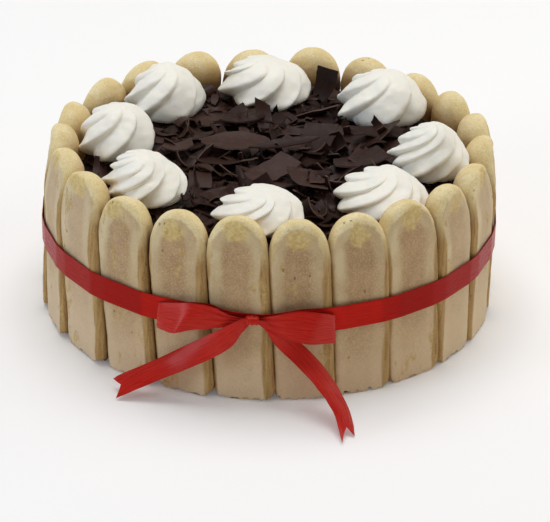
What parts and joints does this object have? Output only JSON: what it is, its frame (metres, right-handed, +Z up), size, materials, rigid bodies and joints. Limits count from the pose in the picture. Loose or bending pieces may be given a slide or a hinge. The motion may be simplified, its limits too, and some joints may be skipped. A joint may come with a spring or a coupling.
{
  "type": "tiramisu",
  "caption": "Round tiramisu cake in a standing ring of ladyfingers, topped with chocolate shavings and piped cream rosettes, tied round with a satin ribbon and bow.",
  "frame": {"origin": "middle of the flat base, on the surface it stands on", "axes": "+Z up, the bow on the -Y side"},
  "size_m": [0.2337, 0.2704, 0.1033],
  "materials": {
    "ladyfinger": "dry baked sponge, pale tan with fine pores, golden at the rounded tip",
    "cake": "soft cream and soaked sponge, seen only from below",
    "chocolate": "dark chocolate shavings with a soft sheen",
    "cream": "smooth whipped cream, soft satin",
    "ribbon": "red satin ribbon, bare of print"
  },
  "bodies": {
    "root": {"ladyfinger_01": "ladyfinger", "ladyfinger_02": "ladyfinger", "ladyfinger_03": "ladyfinger", "ladyfinger_04": "ladyfinger", "ladyfinger_05": "ladyfinger", "ladyfinger_06": "ladyfinger", "ladyfinger_07": "ladyfinger", "ladyfinger_08": "ladyfinger", "ladyfinger_09": "ladyfinger", "ladyfinger_10": "ladyfinger", "ladyfinger_11": "ladyfinger", "ladyfinger_12": "ladyfinger", "ladyfinger_13": "ladyfinger", "ladyfinger_14": "ladyfinger", "ladyfinger_15": "ladyfinger", "ladyfinger_16": "ladyfinger", "ladyfinger_17": "ladyfinger", "ladyfinger_18": "ladyfinger", "ladyfinger_19": "ladyfinger", "ladyfinger_20": "ladyfinger", "ladyfinger_21": "ladyfinger", "ladyfinger_22": "ladyfinger", "cake_core": "cake", "chocolate_shavings": "chocolate", "cream_rosette_1": "cream", "cream_rosette_2": "cream", "cream_rosette_3": "cream", "cream_rosette_4": "cream", "cream_rosette_5": "cream", "cream_rosette_6": "cream", "cream_rosette_7": "cream", "cream_rosette_8": "cream", "ribbon_band": "ribbon", "ribbon_knot": "ribbon", "ribbon_loop_left": "ribbon", "ribbon_loop_right": "ribbon", "ribbon_tail_left": "ribbon", "ribbon_tail_right": "ribbon"}
  },
  "joints": []
}
